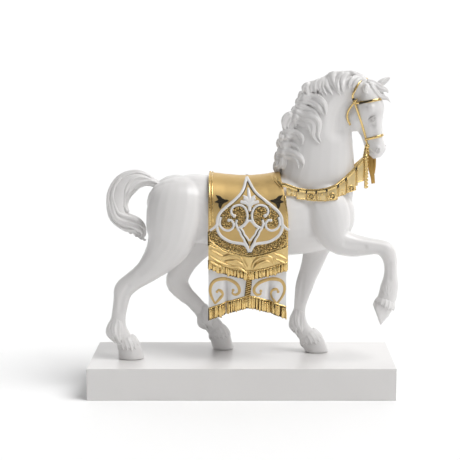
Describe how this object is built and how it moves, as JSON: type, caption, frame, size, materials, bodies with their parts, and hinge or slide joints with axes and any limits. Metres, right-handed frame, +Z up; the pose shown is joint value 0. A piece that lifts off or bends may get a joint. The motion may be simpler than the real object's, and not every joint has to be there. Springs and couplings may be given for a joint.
{
  "type": "horse figurine on plinth",
  "caption": "Porcelain parade horse stepping out with one foreleg raised, in a fringed saddle cloth, reins and bridle, on a plain white block plinth.",
  "frame": {"origin": "centre of the plinth's underside", "axes": "+X towards the horse's front, +Z up, the near flank that the picture shows faces -Y"},
  "size_m": [0.4809, 0.18, 0.5022],
  "materials": {
    "glazed porcelain": "glazed white porcelain, with gold lustre on the cloth, straps and fringes",
    "white lacquer": "satin white lacquer"
  },
  "bodies": {
    "root": {"horse": "glazed porcelain", "plinth": "white lacquer"}
  },
  "joints": []
}
